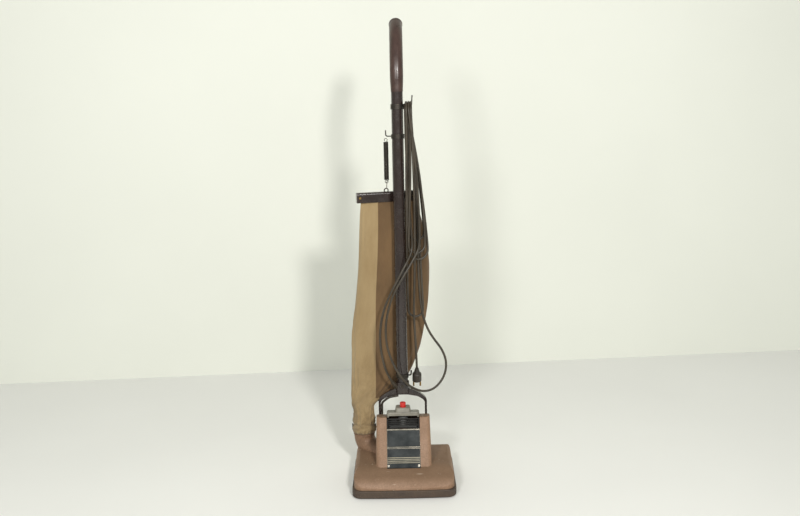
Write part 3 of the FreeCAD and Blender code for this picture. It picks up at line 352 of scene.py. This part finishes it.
# ---- finishes ----
def plain_finish(name, colour, second, rough, metallic=0.0, grain=180.0, patch=22.0, depth=0.25,
                 coat=0.0, specular=0.5, stretch=(1, 1, 1), spread=0.12, speck=None):
    """Colour that drifts between two tones, fine grain in the relief, gloss that varies with it."""
    look = Look(name)
    drawn = look.stretched(*stretch)
    patches = look.noise(patch, 4, 0.6, drawn)
    fine = look.noise(grain, 3, 0.6, drawn)
    both = look.sum("ADD", look.sum("MULTIPLY", patches, 0.7), look.sum("MULTIPLY", fine, 0.3))
    share = look.fit(both, 0.36, 0.64)
    mixed = look.mix(share, colour, second)
    if speck is not None:
        marks = look.fit(look.noise(grain * 1.7, 2, 0.7, drawn), 0.64, 0.74)
        mixed = look.mix(marks, mixed, speck)
    gloss = look.fit(patches, 0.3, 0.7, max(0.03, rough - spread), min(1.0, rough + spread))
    look.finish(mixed, gloss, look.bump(fine, depth, 0.0006), metallic, coat, specular=specular)


def scratches(look, scale, tilt, low, high):
    """Sparse thin lines: a noise drawn out along one direction, cut where it is strongest."""
    lines = look.noise(scale, 2, 0.5, look.stretched(0.09, 1, 1.8, tilt))
    return look.fit(lines, low, high)


def enamel_finish(name, colour, second, shade_and_grime, worn):
    """Mottled enamel with painted shade on level tops, grime low down, scratches and small chips."""
    look = Look(name)
    patches = look.noise(14, 5, 0.62)
    mottle = look.cells(520)
    fine = look.noise(300, 3, 0.6)
    mixed = look.mix(look.fit(patches, 0.35, 0.65), colour, second)
    # painted shade: surfaces that face up are darkened, standing in for the dimmer light on level
    # tops
    mixed = look.mix(look.fit(look.facing_up(), 0.45, 0.98, 0, 0.62), mixed, shade_and_grime)
    mixed = look.mix(look.fit(fine, 0.42, 0.62, 0, 0.35), mixed, shade_and_grime)
    scratched = look.sum("MULTIPLY", scratches(look, 130, 4, 0.70, 0.73),
                         look.between("Z", 0.024, 0.060, 0.004))
    mixed = look.mix(scratched, mixed, worn)
    chips = look.sum("MULTIPLY", look.fit(look.noise(190, 2, 0.5), 0.70, 0.72),
                     look.fit(look.noise(30, 2, 0.5), 0.54, 0.60, 0, 0.7))
    mixed = look.mix(chips, mixed, worn)
    low_grime = look.sum("MULTIPLY", look.fit(look.noise(24, 5, 0.7), 0.42, 0.62),
                         look.between("Z", -0.01, 0.016, 0.016))
    mixed = look.mix(low_grime, mixed, shade_and_grime)
    relief = look.sum("ADD", look.sum("MULTIPLY", mottle, 0.6), fine)
    gloss = look.fit(patches, 0.3, 0.7, 0.50, 0.68)
    look.finish(mixed, gloss, look.bump(relief, 0.20, 0.0006), specular=0.35)


def gloss_enamel_finish():
    """Dark stoved enamel of the tube, fork and bar, with faint runs and worn specks."""
    look = Look("dark_enamel")
    patches = look.noise(20, 4, 0.6, look.stretched(1, 1, 0.25))
    fine = look.noise(700, 2, 0.6)
    mixed = look.mix(look.fit(patches, 0.35, 0.68), tone(34, 25, 22), tone(46, 35, 31))
    chips = look.sum("MULTIPLY", look.fit(look.noise(300, 2, 0.5), 0.72, 0.75),
                     look.fit(look.noise(12, 2, 0.5), 0.56, 0.62))
    mixed = look.mix(chips, mixed, tone(88, 74, 62))
    gloss = look.fit(look.noise(45, 4, 0.65), 0.3, 0.7, 0.14, 0.34)
    look.finish(mixed, gloss, look.bump(fine, 0.05, 0.0004), coat=0.35)


def cloth_finish(name, colour, second, darker_tone):
    """Twill: two crossing thread waves in the cloth's own coordinates, with fade and darkening
    towards the bottom.
    """
    look = Look(name, "UV")
    warp = look.waves(260, "X", 0.6)
    weft = look.waves(300, "DIAGONAL", 0.5)
    weave = look.sum("MULTIPLY", warp, weft)
    fibres = look.noise(900, 3, 0.65, look.stretched(1, 0.35, 1))
    fade = look.noise(9, 5, 0.6, look.stretched(1.6, 0.6, 1))
    mixed = look.mix(look.fit(fade, 0.34, 0.68), colour, second)
    mixed = look.mix(look.fit(weave, 0.0, 0.8, 0.30, 0.0), mixed, darker_tone)
    # darker towards the bottom of the cloth, in noisy patches
    low = look.fit(look.axis("Y"), 0.34, 0.05)
    low_darkening = look.sum("MULTIPLY", look.fit(look.noise(26, 6, 0.68), 0.40, 0.66), low)
    mixed = look.mix(look.sum("MULTIPLY", low_darkening, 0.75), mixed, darker_tone)
    normal = look.bump(weave, 0.35, 0.0004, look.bump(fibres, 0.25, 0.0005))
    gloss = look.fit(fibres, 0.3, 0.7, 0.82, 0.96)
    look.finish(mixed, gloss, normal, sheen=0.25, specular=0.2)


def wood_finish():
    """Turned wood of the brush roll: drawn-out rings and dark pores."""
    look = Look("roll_wood")
    rings = look.waves(60, "Y", 6.0, look.stretched(0.1, 1, 1))
    pores = look.noise(400, 3, 0.7, look.stretched(0.06, 1, 1))
    mixed = look.mix(look.fit(rings, 0.2, 0.8), tone(104, 72, 44), tone(138, 100, 64))
    mixed = look.mix(look.fit(pores, 0.5, 0.7, 0, 0.5), mixed, tone(64, 44, 28))
    gloss = look.fit(pores, 0.3, 0.7, 0.4, 0.6)
    look.finish(mixed, gloss, look.bump(pores, 0.25, 0.0005), coat=0.2)


def winding_finish():
    """Enamelled wire: fine parallel turns."""
    look = Look("copper")
    turns = look.waves(420, "Z", 0.4)
    patches = look.noise(40, 4, 0.6)
    mixed = look.mix(look.fit(patches, 0.35, 0.7), tone(150, 84, 48), tone(112, 58, 34))
    gloss = look.fit(patches, 0.3, 0.7, 0.22, 0.42)
    look.finish(mixed, gloss, look.bump(turns, 0.7, 0.0008), metallic=0.85)


def lamination_finish():
    """Stack of thin punched sheets."""
    look = Look("lamination")
    sheets = look.waves(330, "Z", 0.15)
    patches = look.noise(35, 4, 0.6)
    mixed = look.mix(look.fit(patches, 0.35, 0.7), tone(92, 92, 92), tone(70, 66, 62))
    gloss = look.fit(patches, 0.3, 0.7, 0.36, 0.6)
    look.finish(mixed, gloss, look.bump(sheets, 0.6, 0.0006), metallic=0.8)


def bristle_finish():
    """Dark hairs that run out from the roll."""
    look = Look("bristle")
    hairs = look.noise(1600, 2, 0.6, look.stretched(1, 0.3, 0.3))
    mixed = look.mix(look.fit(hairs, 0.35, 0.65), tone(36, 31, 27), tone(66, 56, 46))
    gloss = look.fit(hairs, 0.3, 0.7, 0.5, 0.75)
    look.finish(mixed, gloss, look.bump(hairs, 0.9, 0.0012))


def make_finishes():
    """One finish for each slot of the record, listed in FINISHES as its Look is made."""
    # the third tone of each enamel darkens level tops as painted shade, and also serves for grime low
    # down and darker mottle
    enamel_finish("brown_enamel", tone(152, 121, 97), tone(136, 107, 84), tone(98, 78, 58),
                  tone(214, 200, 178))
    enamel_finish("elbow_enamel", tone(140, 108, 84), tone(118, 92, 70), tone(74, 58, 44),
                  tone(190, 170, 146))
    plain_finish("bumper_rubber", tone(56, 44, 36), tone(76, 62, 49), 0.62, grain=420, patch=30,
                 depth=0.3, speck=tone(128, 114, 96))
    plain_finish("panel_enamel", tone(46, 51, 51), tone(35, 39, 40), 0.55, grain=300, patch=26,
                 depth=0.12, specular=0.18, speck=tone(74, 74, 68))
    plain_finish("chrome", tone(150, 146, 134), tone(108, 102, 92), 0.2, metallic=1.0,
                 grain=500, patch=40, depth=0.1, spread=0.08, speck=tone(116, 96, 72))
    plain_finish("cream_enamel", tone(134, 127, 100), tone(104, 98, 78), 0.38, grain=380,
                 patch=50, depth=0.12, coat=0.15)
    plain_finish("black_enamel", tone(20, 19, 18), tone(32, 29, 26), 0.5, grain=360, patch=30,
                 depth=0.15, specular=0.15, speck=tone(64, 58, 50))
    plain_finish("steel", tone(168, 164, 154), tone(128, 122, 110), 0.3, metallic=1.0,
                 grain=600, patch=60, depth=0.12, stretch=(1, 1, 0.3))
    plain_finish("grey_plastic", tone(140, 136, 124), tone(114, 110, 99), 0.5, grain=420,
                 patch=34, depth=0.14, speck=tone(96, 92, 82))
    plain_finish("red_plastic", tone(206, 34, 26), tone(178, 26, 22), 0.3, grain=400, patch=60,
                 depth=0.08, coat=0.3, speck=tone(140, 24, 20))
    plain_finish("black_plastic", tone(52, 36, 31), tone(70, 50, 43), 0.36, grain=500, patch=40,
                 depth=0.15, coat=0.15, speck=tone(96, 76, 62))
    plain_finish("cast_aluminium", tone(152, 152, 150), tone(118, 118, 116), 0.52,
                 metallic=0.85, grain=260, patch=30, depth=0.5)
    plain_finish("zinc_steel", tone(150, 152, 150), tone(116, 116, 112), 0.4, metallic=0.9,
                 grain=120, patch=40, depth=0.15, speck=tone(112, 92, 70))
    lamination_finish()
    winding_finish()
    plain_finish("carbon", tone(34, 34, 36), tone(54, 54, 56), 0.55, grain=700, patch=80,
                 depth=0.3)
    plain_finish("belt_rubber", tone(30, 28, 27), tone(46, 43, 40), 0.68, grain=520, patch=60,
                 depth=0.25)
    wood_finish()
    bristle_finish()
    cloth_finish("tan_cloth", tone(166, 145, 108), tone(148, 126, 90), tone(96, 78, 54))
    # brown_cloth is the tan cloth again, darker, as painted shade for the shadow of the tube and cord
    # on the bag's right side
    cloth_finish("brown_cloth", tone(120, 94, 64), tone(96, 75, 52), tone(58, 46, 32))
    plain_finish("dark_steel", tone(70, 66, 60), tone(48, 44, 40), 0.38, metallic=0.75,
                 grain=420, patch=50, depth=0.25, speck=tone(120, 98, 74))
    plain_finish("bronze", tone(150, 116, 70), tone(116, 86, 52), 0.36, metallic=1.0, grain=500,
                 patch=60, depth=0.2)
    gloss_enamel_finish()
    plain_finish("brass", tone(188, 154, 92), tone(146, 114, 62), 0.28, metallic=1.0, grain=520,
                 patch=60, depth=0.12, speck=tone(96, 76, 48))
    plain_finish("cord_rubber", tone(42, 36, 27), tone(62, 54, 41), 0.46, grain=650, patch=26,
                 depth=0.35, stretch=(1, 1, 0.5), speck=tone(122, 112, 94))
    plain_finish("plug_rubber", tone(40, 36, 31), tone(56, 50, 43), 0.5, grain=520, patch=40,
                 depth=0.3, speck=tone(92, 84, 70))
    plain_finish("wheel_rubber", tone(48, 45, 42), tone(66, 62, 57), 0.66, grain=420, patch=40,
                 depth=0.3, speck=tone(110, 104, 94))


def paint(obj, *slots):
    """Gives a piece the finishes of the named slots."""
    if obj.data.materials:
        obj.data.materials.clear()
    for slot in slots:
        obj.data.materials.append(FINISHES[slot])


def paint_frame():
    """Each CAD node takes the finish of its slot in the record."""
    for row in frame["record"]["subparts"]:
        paint(frame["nodes"][row["node"]], row["material_slot"])


make_finishes()
paint_frame()
paint(cord, "cord_rubber")

# ---- dust bag ----
BAG_ROWS = [  # height, left, right, middle y, half depth, yaw in degrees
    (108.8, -144, -80, 22, 32, 0), (114, -145, -79, 22, 33, 0), (122, -145, -79, 22, 33, 0),
    (129, -142, -82, 22, 30, 0), (142, -143, -81, 22, 31, 0), (158, -141, -83, 22, 28, 0),
    (172, -140, -84, 24, 24, 0), (186, -145, -80, 38, 25, 0), (210, -147, -32, 67, 24, 2),
    (250, -146, 16, 86, 26, 4), (330, -143, 54, 96, 29, 6), (385, -140, 66, 101, 31, 8),
    (480, -130, 80, 105, 32, 9), (570, -121, 85, 106, 32, 10), (650, -116, 76, 103, 27, 11),
    (730, -111, 58, 97, 15, 12), (757, -108, 46, 94, 6, 12), (772, -107, 45, 94, 5, 12),
]
SEAM_ROWS = [(100, -78), (200, -78), (330, -78), (480, -76), (620, -68), (757, -61), (772, -60)]
BAG_STEP = 3.4               # height of one row of faces
TAN_POINTS = 66              # points round the tan cloth, and round the brown stretch of painted shade
SHADED_POINTS = 84
SHADED_FROM = 199             # the neck below this height is all tan, with no painted shade
NECK_PINCH = 127             # where the neck is drawn flat under the gathers
CLOTH_THICKNESS = 1.1


def smooth_rows(rows, z):
    """Values of a table at height z, on a smooth curve through its rows."""
    last = len(rows) - 1
    i = 0
    while i < last - 1 and rows[i + 1][0] < z:
        i += 1
    span = rows[i + 1][0] - rows[i][0]
    t = min(1.0, max(0.0, (z - rows[i][0]) / span))
    values = []
    for column in range(1, len(rows[0])):
        def slope(k):
            a, b = max(0, k - 1), min(last, k + 1)
            return (rows[b][column] - rows[a][column]) / (rows[b][0] - rows[a][0])
        start, end = rows[i][column], rows[i + 1][column]
        m0, m1 = slope(i) * span, slope(i + 1) * span
        values.append((2 * t**3 - 3 * t**2 + 1) * start + (t**3 - 2 * t**2 + t) * m0
                      + (3 * t**2 - 2 * t**3) * end + (t**3 - t**2) * m1)
    return values


def fade(value, low, high):
    """Smooth step from 0 at low to 1 at high."""
    t = min(1.0, max(0.0, (value - low) / (high - low)))
    return t * t * (3 - 2 * t)


def wave(angle, z, round_scale, up_scale, seed):
    """Smooth random value over the cloth; each seed gives its own pattern."""
    return noise.noise(Vector((angle * round_scale, z * up_scale, seed)))


def bag_wrinkle(z, angle, width):
    """How far the cloth stands out or sinks in, in millimetres, at a height and an angle."""
    gather = (1 - fade(z, 200, 300)) * (0.45 + 0.55 * fade(abs(z - NECK_PINCH), 2, 12))
    folds = 1.9 * math.sin(23 * angle + 5.2 * wave(angle, z, 1.4, 0.02, 3.0))
    crinkle = 2.2 * wave(angle, z, 5.0, 0.13, 7.0) * (1 - fade(z, 170, 235))
    drapes = wave(angle, z, 2.4, 0.0045, 11.0) + 0.45 * wave(angle, z, 6.0, 0.007, 17.0)
    low = 5.0 * drapes * (1 - fade(z, 330, 560)) * fade(z, 185, 240)
    high = 1.6 * wave(angle, z, 7.0, 0.006, 23.0) * fade(z, 520, 700) * (1 - fade(z, 735, 765))
    general = 1.1 * wave(angle, z, 1.8, 0.012, 31.0) * fade(z, 200, 300)
    slack = 0.7 * wave(angle, z, 3.0, 0.05, 41.0) * fade(z, 190, 260) * (1 - fade(z, 420, 640))
    calm = min(1.0, width / 60)      # a slim stretch has less relief
    return gather * (folds + crinkle) + calm * (low + high + general + slack)


def bag_ring(z):
    """Points round the bag at a height, from the seam on the right over the back to its start."""
    left, right, middle, half_y, yaw = smooth_rows(BAG_ROWS, z)
    (seam,) = smooth_rows(SEAM_ROWS, z)
    centre_x = (left + right) / 2
    half_x = (right - left) / 2
    at_seam = math.acos(min(0.97, max(-0.97, (seam - centre_x) / half_x)))
    turn = math.radians(yaw)
    ring = []
    for i in range(TAN_POINTS + SHADED_POINTS):
        if i < TAN_POINTS:
            angle = at_seam + (2 * math.pi - 2 * at_seam) * i / TAN_POINTS
        else:
            angle = -at_seam + 2 * at_seam * (i - TAN_POINTS) / SHADED_POINTS
        near = min(i, abs(i - TAN_POINTS), TAN_POINTS + SHADED_POINTS - i)
        ridge = {0: 1.5, 1: 0.5}.get(near, 0.0) * fade(z, 195, 215)
        out = bag_wrinkle(z, angle, half_x) + ridge
        normal = Vector((math.cos(angle) * half_y, math.sin(angle) * half_x)).normalized()
        x = half_x * math.cos(angle) + normal.x * out
        y = half_y * math.sin(angle) + normal.y * out
        ring.append(mm(centre_x + x * math.cos(turn) - y * math.sin(turn),
                       middle + x * math.sin(turn) + y * math.cos(turn), z))
    return ring


def ring_mesh(name, rings, slot_of, uv_heights):
    """Skin through closed rings of points; its UV map is the distance round and the height."""
    count = len(rings[0])
    vertices = [point for ring in rings for point in ring]
    faces = []
    for j in range(len(rings) - 1):
        for i in range(count):
            k = (i + 1) % count
            faces.append((j * count + i, j * count + k, (j + 1) * count + k, (j + 1) * count + i))
    mesh = bpy.data.meshes.new(name)
    mesh.from_pydata(vertices, [], faces)
    layer = mesh.uv_layers.new(name="UVMap")
    lengths = []
    for ring in rings:
        run = [0.0]
        for i in range(count):
            run.append(run[-1] + (ring[(i + 1) % count] - ring[i]).length)
        lengths.append(run)
    for face in mesh.polygons:
        j, i = divmod(face.index, count)
        corners = ((j, i), (j, i + 1), (j + 1, i + 1), (j + 1, i))
        for loop, (row, column) in zip(face.loop_indices, corners):
            layer.data[loop].uv = (lengths[row][column], uv_heights[row])
        face.material_index = slot_of(j, i)
        face.use_smooth = True
    return mesh


def applied(obj):
    """The object's mesh with its modifiers made real."""
    graph = bpy.context.evaluated_depsgraph_get()
    graph.update()
    mesh = bpy.data.meshes.new_from_object(obj.evaluated_get(graph))
    obj.modifiers.clear()
    obj.data = mesh
    return obj


def make_bag():
    """Dust bag and neck as one cloth, from the clamp band up to the bar."""
    low, high = BAG_ROWS[0][0], BAG_ROWS[-1][0]
    count = round((high - low) / BAG_STEP)
    heights = [low + (high - low) * j / count for j in range(count + 1)]
    rings = [bag_ring(z) for z in heights]

    # faces right of the seam above the neck take brown_cloth, painted shade for the shadow of the
    # tube and cord
    def slot_of(j, i):
        return 1 if i >= TAN_POINTS and heights[j] > SHADED_FROM else 0

    mesh = ring_mesh("dust_bag_cloth", rings, slot_of, [z * MM for z in heights])
    bag = collect(bpy.data.objects.new("dust_bag_cloth", mesh))
    # second slot: brown_cloth, the tan cloth darkened as painted shade
    paint(bag, "tan_cloth", "brown_cloth")
    shell = bag.modifiers.new("thickness", "SOLIDIFY")
    shell.thickness = CLOTH_THICKNESS * MM
    shell.offset = -1
    applied(bag)
    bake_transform(bag)
    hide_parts("dust_bag", "neck_sleeve")


make_bag()

# ---- coil springs ----
TURN_POINTS = 14
BAG_COIL_RADIUS = 6.0
BAG_COIL_TURNS = 58
BAG_WIRE_RADIUS = 0.9
EYE_RADIUS = 4.2
EYE_REACH = 5.5              # from the coil's last turn to the middle of the eye
EYE_LENGTH = 10.5            # from the coil's last turn to the eye's far side
BUTTON_COIL_RADIUS = 4.5
BUTTON_COIL_TURNS = 6
BUTTON_WIRE_RADIUS = 0.5
COIL_MARGIN = 0.6            # the button's coil stops short of its seat by this much


def eye_points(x, y, z, radius):
    """Round eye at the end of a spring, in the plane that faces the front."""
    points = []
    for step in range(9):
        angle = math.radians(-90 + 40 * step)
        points.append((x + radius * math.cos(angle), y, z + radius * math.sin(angle)))
    return points


def coil_points(x, y, low, high, radius, turns):
    """Helix between two heights."""
    points = []
    for step in range(turns * TURN_POINTS + 1):
        angle = 2 * math.pi * step / TURN_POINTS
        points.append((x + radius * math.cos(angle), y + radius * math.sin(angle),
                       low + (high - low) * step / (turns * TURN_POINTS)))
    return points


def wire_piece(name, points, wire, slot, body):
    """Round wire through the given points, in metres, riding on a body."""
    curve = bpy.data.curves.new(name, "CURVE")
    curve.dimensions = "3D"
    spline = curve.splines.new("POLY")
    spline.points.add(len(points) - 1)
    for control, point in zip(spline.points, points):
        control.co = (*point, 1)
    curve.bevel_depth = wire
    curve.bevel_resolution = 2
    piece = collect(bpy.data.objects.new(name, curve_mesh(curve)))
    paint(piece, slot)
    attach(piece, body)
    return piece


def make_bag_coil():
    """Long spring between the wire bracket and the bar, with an eye at each end."""
    low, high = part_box("bag_spring")
    x, y, _ = (low + high) / 2
    bottom, top = low.z + EYE_LENGTH * MM, high.z - EYE_LENGTH * MM
    points = eye_points(x, y, bottom - EYE_REACH * MM, EYE_RADIUS * MM)
    points += coil_points(x, y, bottom, top, BAG_COIL_RADIUS * MM, BAG_COIL_TURNS)
    points += eye_points(x, y, top + EYE_REACH * MM, EYE_RADIUS * MM)
    coil = wire_piece("coil_spring", points, BAG_WIRE_RADIUS * MM, "dark_steel", "handle")
    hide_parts("bag_spring")


def make_button_coil():
    """Spring under the red button."""
    low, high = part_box("button_spring")
    x, y, _ = (low + high) / 2
    points = coil_points(x, y, low.z + COIL_MARGIN * MM, high.z - COIL_MARGIN * MM,
                         BUTTON_COIL_RADIUS * MM, BUTTON_COIL_TURNS)
    coil = wire_piece("button_coil", points, BUTTON_WIRE_RADIUS * MM, "steel", "base")
    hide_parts("button_spring")
    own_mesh(coil)


make_bag_coil()
make_button_coil()

# ---- floor, backdrop and light ----
STAGE_SIZE = 30
WALL_Y = 0.86
UPRIGHT = Matrix.Rotation(math.radians(90), 4, "X")
WALL_TURN = Matrix.Rotation(math.radians(4), 4, "Z") @ UPRIGHT
LIT_POINT = (0, 0, 0.6)
KEY_POWER = 58
FILL_POWER = 36
AIR_COLOUR = (0.93, 0.95, 0.93, 1)
AIR_STRENGTH = 0.46


def stage_plane(name, place, turn, colour, second):
    """Flat square of the stage with faint patches; returns its Look for further changes."""
    half = STAGE_SIZE / 2
    corners = [(-half, -half, 0), (half, -half, 0), (half, half, 0), (-half, half, 0)]
    mesh = bpy.data.meshes.new(name)
    mesh.from_pydata(corners, [], [(0, 1, 2, 3)])
    plane = collect(bpy.data.objects.new(name, mesh))
    plane.matrix_world = Matrix.Translation(place) @ turn
    look = Look(name)
    mixed = look.mix(look.fit(look.noise(1.3, 3, 0.5), 0.3, 0.7), colour, second)
    grain = look.bump(look.noise(60, 3, 0.6), 0.05, 0.002)
    mesh.materials.append(look.finish(mixed, 0.7, grain))
    return look


def clear_from_behind(look):
    """Lets a view from behind see through the surface."""
    tree = look.tree
    clear = look.node("BsdfTransparent")
    blend = look.node("MixShader")
    tree.links.new(look.node("NewGeometry").outputs["Backfacing"], blend.inputs[0])
    tree.links.new(look.shader.outputs[0], blend.inputs[1])
    tree.links.new(clear.outputs[0], blend.inputs[2])
    tree.links.new(blend.outputs[0], tree.nodes["Material Output"].inputs["Surface"])


def area_light(name, place, size, power, colour):
    """Round lamp that shines at the middle of the object."""
    data = bpy.data.lights.new(name, "AREA")
    data.shape = "DISK"
    data.size = size
    data.energy = power
    data.color = colour
    lamp = collect(bpy.data.objects.new(name, data))
    aim = (Vector(LIT_POINT) - Vector(place)).to_track_quat("-Z", "Y")
    lamp.matrix_world = Matrix.Translation(place) @ aim.to_matrix().to_4x4()


stage_plane("studio_floor", (0, 0, 0), Matrix.Identity(4), tone(234, 234, 230), tone(230, 230, 226))
wall = stage_plane("studio_wall", (0, WALL_Y, 0), WALL_TURN, tone(230, 232, 222), tone(226, 228, 218))
clear_from_behind(wall)
area_light("key_light", (0.75, -2.6, 2.0), 0.35, KEY_POWER, (1.0, 0.98, 0.95))
area_light("fill_light", (-0.9, -2.6, 2.0), 0.5, FILL_POWER, (1.0, 0.99, 0.98))
world = bpy.data.worlds.new("studio_air")
world.use_nodes = True
world.node_tree.nodes["Background"].inputs["Color"].default_value = AIR_COLOUR
world.node_tree.nodes["Background"].inputs["Strength"].default_value = AIR_STRENGTH
bpy.context.scene.world = world
